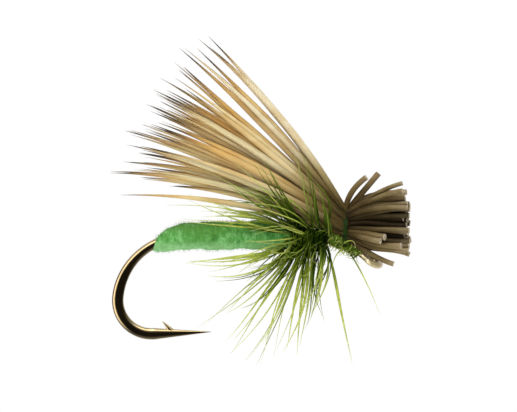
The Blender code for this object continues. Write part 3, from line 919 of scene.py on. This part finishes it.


# Hackle

# The longest barbs: how far back on the hub each starts, then halfway and tip, each forward, up and
# aside, its strands, its weight and how much painted shade it takes
LONG_BARBS = (
    (0.9, (-6.1, 0.32, -0.9), (-9.75, 0.1, -1.2), 2, 1.1, 0.1),
    (0.85, (-6.3, 0.12, -0.4), (-9.7, -0.1, -0.2), 2, 0.9, 0.2),
    (0.8, (-6.5, -0.3, -0.8), (-8.9, -0.6, -1.0), 2, 1.0, 0.2),
    (0.75, (-5.8, -0.55, -1.1), (-6.7, -0.78, -1.6), 2, 0.7, 0.9),
    (0.7, (-6.9, -1.42, -0.5), (-9.33, -3.55, -0.4), 2, 0.7, 0.5),
    (0.7, (-6.0, -1.3, -1.0), (-7.8, -2.6, -1.4), 2, 1.0, 0.3),
    (0.65, (-5.4, -1.5, -1.3), (-6.85, -2.26, -1.9), 2, 0.9, 0.95),
    (0.65, (-6.15, -2.4, -0.6), (-7.67, -4.1, -0.8), 2, 1.3, 0.1),
    (0.6, (-5.95, -2.8, 0.2), (-7.7, -5.1, 0.5), 2, 0.9, 0.3),
    (0.6, (-5.45, -3.0, -0.4), (-6.7, -5.4, -0.6), 2, 0.8, 0.4),
    (0.55, (-5.15, -3.2, 0.3), (-6.12, -5.75, 0.4), 2, 0.7, 0.5),
    (0.5, (-4.9, -2.6, -0.9), (-5.8, -4.3, -1.4), 2, 1.1, 0.2),
    (0.45, (-4.6, -3.1, 0.6), (-5.33, -5.25, 0.9), 2, 0.7, 0.3),
    (0.45, (-4.15, -2.5, -0.7), (-4.8, -4.8, -0.9), 2, 1.3, 0.05),
    (0.38, (-3.78, -2.4, -0.5), (-4.09, -4.72, -0.5), 2, 1.3, 0.0),
    (0.32, (-3.4, -1.15, -1.2), (-3.53, -2.24, -1.8), 2, 0.8, 0.95),
    (0.25, (-3.14, -2.1, -0.8), (-3.76, -3.5, -1.0), 2, 0.9, 0.9),
    (0.16, (-2.94, -1.3, -0.5), (-3.25, -2.8, -0.7), 2, 1.0, 0.2),
    (0.08, (-2.68, -1.15, 0.3), (-3.3, -3.1, 0.4), 2, 1.0, 0.2),
    (0.02, (-1.4, -1.95, -0.4), (-0.9, -5.7, -0.5), 1, 1.3, 0.0),
    (0.95, (-7.2, 2.5, -0.6), (-10.97, 2.81, -0.7), 1, 0.7, 0.2),
    (0.95, (-7.0, 2.2, -0.9), (-10.4, 2.33, -1.0), 2, 0.8, 0.2),
    (0.9, (-6.6, 2.3, -1.1), (-10.0, 3.6, -1.4), 2, 0.8, 0.3),
    (0.88, (-6.4, 2.35, -1.2), (-9.1, 2.65, -1.5), 2, 1.0, 0.3),
    (0.85, (-6.0, 2.45, -1.2), (-8.3, 2.6, -1.6), 3, 1.0, 0.4),
    (0.8, (-5.9, 3.0, -1.3), (-8.96, 4.96, -1.6), 1, 0.6, 0.4),
    (0.7, (-5.5, 3.6, -1.5), (-7.9, 5.88, -1.9), 1, 0.6, 0.4),
    (0.75, (-5.4, 2.9, -1.3), (-7.5, 4.3, -1.8), 3, 1.0, 0.6),
    (0.65, (-5.0, 2.9, -1.3), (-6.8, 3.9, -1.8), 3, 1.1, 0.7),
    (0.6, (-4.7, 3.2, -1.5), (-6.25, 5.3, -2.0), 2, 0.8, 0.7),
    (0.5, (-4.3, 3.2, -1.5), (-5.5, 5.4, -2.0), 2, 0.8, 0.7),
    (0.35, (-3.6, 3.4, -1.5), (-4.08, 5.88, -1.7), 2, 0.8, 0.6),
    (0.2, (-3.0, 3.3, -1.5), (-3.6, 5.6, -1.8), 2, 0.8, 0.7),
    (0.1, (-2.7, 2.7, -1.4), (-3.1, 4.4, -1.7), 3, 1.0, 0.8),
    (0.02, (-2.45, 2.1, -1.4), (-2.6, 3.2, -1.8), 3, 1.0, 0.8),
)
HUB_RADIUS = 0.42 * MM
TIP_STRETCH = 1.07  # how much further than listed a long barb goes past halfway


def barb_root(share, toward):
    """Where a barb leaves the hub on its way to a point."""
    centre, along, _ = wire_frame(mix(HUB_FRONT, HUB_REAR, share))
    outward = toward - centre
    outward -= outward.dot(along) * along
    return centre + HUB_RADIUS * outward.normalized()


def hackle_guides():
    guides = []
    for share, middle, tip, count, weight, tone in LONG_BARBS:
        points = spots(middle, tip)
        root = barb_root(share, points[0])
        points[1] = points[0] + TIP_STRETCH * (points[1] - points[0])
        guides.append((through(root, *points), count, 0.2 * MM, weight, tone))
    rng = random.Random(11)
    for index in range(FILL_BARBS):
        share = rng.random()
        angle = GOLDEN_ANGLE * index
        centre, along, up = wire_frame(mix(HUB_FRONT, HUB_REAR, share))
        outward = math.cos(angle) * up + math.sin(angle) * SIDE
        sweep = math.radians(mix(0.0, 46.0, share) + rng.uniform(-8.0, 14.0) + 30.0 * max(0.0, outward.z))
        length = rng.uniform(1.6, 4.6) * (1.0 + 0.4 * outward.y**2) * MM
        tip = centre + length * (math.cos(sweep) * outward + math.sin(sweep) * along)
        bow = jitter(rng) * 0.45 * MM
        halfway = math.cos(0.7 * sweep) * outward + math.sin(0.7 * sweep) * along
        middle = centre + 0.52 * length * halfway + bow
        # how much painted shade this barb takes
        tone = rng.uniform(0.3, 1.0)
        guides.append((through(barb_root(share, middle), middle, tip), 2, 0.22 * MM, 0.7, tone))
    for _ in range(HUB_BARBS):
        share = rng.random()
        angle = rng.uniform(0.0, 2.0 * math.pi)
        centre, along, up = wire_frame(mix(HUB_FRONT, HUB_REAR, share))
        outward = math.cos(angle) * up + math.sin(angle) * SIDE
        way = (outward + rng.uniform(-0.8, 1.0) * along).normalized()
        length = rng.uniform(0.5, 1.7) * MM
        bow = jitter(rng) * 0.2 * MM
        middle = centre + (HUB_RADIUS + 0.4 * length) * outward + bow
        tip = centre + (HUB_RADIUS + 0.5 * length) * outward + 0.6 * length * way
        line = through(barb_root(share, middle), middle, tip, 8)
        # the short hub barbs take much painted shade, so the hub is a dark mass
        guides.append((line, 1, 0.0, 0.5, rng.uniform(0.75, 1.2)))
    return guides


def stem_guides():
    """The feather's stem, wound close over the front of the body."""
    places = along_wire(HUB_FRONT - 0.1 * MM, HUB_REAR + 0.2 * MM)

    def coil(share, angle):
        return on_circle(mix(*STEM_COIL, smooth(0.0, 1.0, share)) * MM, angle)

    # the stem takes much painted shade
    return [(winding(places, STEM_TURNS, coil), 1, 0.0, 1.0, 0.9)]


def hub_guides():
    """Turns of thread under the feather's stem, from the neck back to the yarn."""
    places = along_wire(HUB_FRONT - 0.2 * MM, HUB_REAR + 0.3 * MM)

    def coil(share, angle):
        return on_circle(HUB_THREAD_RADIUS, angle)

    return [(winding(places, HUB_TURNS, coil), 1, 0.0, 1.0, 0.5)]


# Thread


def along_wire(front, rear):
    """For a winding on the wire: its centre and two directions at a share of the way back."""

    def places(share):
        place, _, out = wire_frame(mix(front, rear, share))
        return place, SIDE, out

    return places


def winding(places, turns, radius_of, per_turn=22):
    """The line of a thread wound round: places gives the centre and two directions for a share."""
    line = []
    for step in range(int(turns * per_turn) + 1):
        share = step / (turns * per_turn)
        angle = 2.0 * math.pi * step / per_turn
        centre, side, up = places(share)
        across, high = radius_of(share, angle)
        line.append(centre + across * side + high * up)
    return line


def collar_guides():
    """Turns of thread that pinch hair and shank together."""
    axis = COLLAR_TOP - COLLAR_FOOT
    up = axis.normalized()
    forward = Vector((up.z, 0.0, -up.x))
    middle = 0.5 * (COLLAR_TOP + COLLAR_FOOT)

    def places(share):
        return middle + mix(-0.10, 0.10, share) * MM * forward, SIDE, up

    def oval(share, angle):
        narrow = 1.0 - 0.25 * max(0.0, -math.sin(angle))
        return 0.5 * COLLAR_DEPTH * math.cos(angle) * narrow, 0.5 * axis.length * math.sin(angle)

    return [(winding(places, COLLAR_TURNS, oval, 40), 1, 0.0, 1.0, 0.5)]


def neck_guides():
    """Thread from the hackle under the wing and down the neck to the whip finish behind the eye."""
    places = along_wire(NECK_FRONT, HUB_FRONT + 0.1 * MM)

    def cone(share, angle):
        radius = (mix(*NECK_COIL, smooth(0.0, 0.6, share)) + 0.03 * math.sin(11.0 * share)) * MM
        return on_circle(radius, angle)

    return [(winding(places, NECK_TURNS, cone), 1, 0.0, 1.0, 0.5)]


# Green ends and barbs caught in the thread at the neck: start, halfway and tip
CAUGHT_BARBS = (
    ((-1.5, 0.7, -0.3), (-1.95, 0.35, -0.4), (-2.15, -0.32, -0.5), 0.8),
    ((-1.3, 0.55, -0.3), (-0.45, -0.95, -0.4), (0.42, -2.92, -0.5), 0.8),
    ((-1.7, 0.9, -0.4), (-1.1, 1.15, -0.7), (-0.95, 0.75, -0.9), 0.6),
    ((-2.0, 0.8, -0.4), (-1.6, 0.5, -0.6), (-1.0, 0.42, -0.6), 0.6),
)


def caught_guides():
    guides = []
    for start, middle, tip, weight in CAUGHT_BARBS:
        guides.append((through(*spots(start, middle, tip)), 1, 0.03 * MM, weight, 0.1))
    rng = random.Random(23)
    for _ in range(NECK_WISPS):
        place, along, out = wire_frame(rng.uniform(0.8, 2.7) * MM)
        angle = rng.uniform(0.0, 2.0 * math.pi)
        outward = math.cos(angle) * SIDE + math.sin(angle) * out
        start = place + 0.3 * MM * outward
        way = jitter(rng)
        tip = start + (0.12 * outward + 0.36 * way) * MM
        middle = start.lerp(tip, 0.5) + 0.12 * MM * outward
        guides.append((through(start, middle, tip, 6), 1, 0.0, 0.4, rng.uniform(0.0, 0.7)))
    return guides


# The set


FLOOR_SIZE = 0.13
FLOOR_HEIGHT = -46.0 * MM


def make_floor():
    mesh = bmesh.new()
    bmesh.ops.create_grid(mesh, x_segments=1, y_segments=1, size=FLOOR_SIZE)
    data = bpy.data.meshes.new("floor")
    mesh.to_mesh(data)
    mesh.free()
    floor = link("floor", data)
    floor.location.z = FLOOR_HEIGHT
    f = Finish("pale_floor", Roughness=0.9)
    tone = f.noise(f.coords(), 30.0, 2.0)
    f.use(Base_Color=f.blend(tone.between(0.2, 0.8), (250, 250, 250), (255, 255, 255)))
    floor.data.materials.append(f.material)
    floor.visible_glossy = False


def area_light(name, place, target, size, power):
    data = bpy.data.lights.new(name, "AREA")
    data.shape = "DISK"
    data.size = size
    data.energy = power
    lamp = bpy.data.objects.new(name, data)
    lamp.location = place
    lamp.rotation_euler = (Vector(target) - Vector(place)).to_track_quat("-Z", "Y").to_euler()
    bpy.context.scene.collection.objects.link(lamp)
    return lamp


def light_set():
    """A white room with a soft bank of light up and behind the hook's bend, and two lamps."""
    world = bpy.data.worlds.new("studio")
    bpy.context.scene.world = world
    world.use_nodes = True
    t = Tree(world.node_tree)
    way = t.node("ShaderNodeTexCoord", output="Generated")
    parts = t.node("ShaderNodeSeparateXYZ", {}, {"Vector": way}, "X")
    across, deep, high = (Value(t, parts.socket.node.outputs[k]) for k in range(3))
    band = deep.between(-0.84, -0.66) * (1.0 - deep.between(-0.32, -0.16))
    side = (high - across * 1.2).between(-0.3, 0.5)
    behind = deep.between(-0.05, 0.6)
    around = deep.between(-0.9, 0.2, 0.34, 0.92)
    seen = t.node("ShaderNodeLightPath", output="Is Camera Ray")
    mirrored = t.node("ShaderNodeLightPath", output="Is Glossy Ray")
    above = high.between(0.15, 0.75)
    below = (0.0 - high).between(0.5, 0.95)
    shown = behind * 0.75 + band * side * 4.2 + above * 0.9 + below * 0.35 + 0.03
    room = around + (shown - around) * mirrored
    background = world.node_tree.nodes["Background"]
    background.inputs["Color"].default_value = (1.0, 1.0, 1.0, 1.0)
    strength = room * (1.0 - seen) + seen
    world.node_tree.links.new(strength.socket, background.inputs["Strength"])
    target = (-0.006, 0.0, 0.002)
    area_light("key", (-0.06, -0.11, 0.21), target, 0.10, 0.31)
    fill = area_light("low_fill", (0.01, -0.19, -0.03), target, 0.07, 0.105)
    fill.visible_glossy = False
    bpy.context.scene.view_settings.view_transform = "Standard"


def set_camera():
    """At the fly's side and a little above it, far off with a long lens."""
    centre = Vector((-6.07, 0.0, 2.915)) * MM
    width = 27.4 * MM
    lens, sensor = 200.0, 36.0
    distance = lens / sensor * width
    data = bpy.data.cameras.new("camera")
    data.lens = lens
    data.sensor_width = sensor
    data.clip_start = 0.005
    data.clip_end = 5.0
    camera = bpy.data.objects.new("camera", data)
    tilt = math.radians(6.0)
    camera.location = centre + distance * Vector((0.0, -math.cos(tilt), math.sin(tilt)))
    camera.rotation_euler = (math.radians(90.0) - tilt, 0.0, 0.0)
    bpy.context.scene.collection.objects.link(camera)
    bpy.context.scene.camera = camera


# Putting the fly together


def settle(piece, slot, *nodes):
    """The piece rides on the fly and stands for CAD nodes, which it hides; its slot is not used."""
    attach(piece, "root")
    if nodes:
        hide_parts(*nodes)


def dress(piece, material):
    piece.data.materials.clear()
    piece.data.materials.append(material)
    return piece


def build():
    strands = strand_growth()

    def tufts(name, guides, **sizes):
        return grow(name, guide_mesh(name + "_guides", guides), strands, **sizes)

    hair_nodes = sorted(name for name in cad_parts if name.startswith("wing_hair"))

    bronze = bronze_finish()
    settle(dress(make_hook(), bronze), "hook_wire", "hook")
    settle(dress(make_barb(), bronze), "hook_wire")

    yarn = yarn_finish()
    body = dress(make_body(), yarn)
    settle(body, "yarn", "body_yarn", "thread_base")
    nap = grow(
        "yarn_nap", body.data.copy(), fuzz_growth(),
        Density=9.0e7, Length=0.20 * MM, Thickness=0.018 * MM, Seed=4, Material=yarn,
    )
    settle(nap, "yarn")

    wing = tufts(
        "wing_hair", wing_guides(),
        Thickness=0.325 * MM, Root_share=0.85, Tip_share=0.03, Taper_start=0.56, Root_spread=0.09 * MM,
        Bow=0.06 * MM, Shortest=0.93, Steps=18, Sides=8, Seed=3, Material=hair_finish(),
    )
    settle(wing, "elk_hair", *hair_nodes)
    butts = tufts(
        "hair_butts", butt_guides(),
        Thickness=0.31 * MM, Root_share=0.75, Tip_share=0.98, Taper_start=0.5, Root_spread=0.03 * MM,
        Bow=0.05 * MM, Shortest=0.96, Steps=14, Sides=12, Seed=21, Material=butt_finish(),
    )
    settle(butts, "elk_hair")

    barbs = barb_finish()
    hackle = tufts(
        "hackle", hackle_guides(),
        Thickness=0.12 * MM, Root_share=0.6, Tip_share=0.08, Taper_start=0.4, Root_spread=0.04 * MM,
        Bow=0.38 * MM, Shortest=0.94, Steps=18, Sides=5, Seed=33, Material=barbs,
    )
    settle(hackle, "hackle", "hackle_feather")
    wound = dict(Root_share=1.0, Root_spread=0.0, Bow=0.0, Shortest=1.0, Sides=7)
    stem = tufts(
        "hackle_stem", stem_guides(),
        Thickness=0.26 * MM, Tip_share=0.8, Taper_start=0.5, Steps=200, Seed=35, Material=barbs, **wound,
    )
    settle(stem, "hackle")
    caught = tufts(
        "caught_barbs", caught_guides(),
        Thickness=0.10 * MM, Root_share=1.0, Tip_share=0.15, Taper_start=0.3, Root_spread=0.0,
        Bow=0.03 * MM, Shortest=0.95, Steps=12, Sides=5, Seed=37, Material=barbs,
    )
    settle(caught, "hackle")

    thread_sizes = dict(Thickness=THREAD, Tip_share=1.0, Taper_start=0.9, **wound)
    # painted shade: the collar's turns take a near-black copy of the thread's green, as the shade of the
    # wing and butts
    collar = tufts(
        "collar_thread", collar_guides(),
        Steps=220, Seed=41, Material=thread_finish("thread_painted_shade", (14, 28, 4), (36, 60, 14)), **thread_sizes,
    )
    settle(collar, "thread", "wing_collar")
    # painted shade: the hub's turns take a near-black copy of the thread's green, as the shade inside the
    # hackle
    hub = tufts(
        "hub_thread_painted_shade", hub_guides(),
        Steps=750, Seed=43, Material=thread_finish("hub_thread_painted_shade", (12, 24, 2), (30, 50, 8)), **thread_sizes,
    )
    settle(hub, "thread")
    light = thread_finish("light_thread", (48, 72, 12), (112, 140, 42))
    neck = tufts(
        "neck_thread", neck_guides(),
        Steps=600, Seed=42, Material=light, **thread_sizes,
    )
    settle(neck, "thread", "head_wraps", "whip_finish", "hackle_tie_down")


build()
make_floor()
light_set()
set_camera()
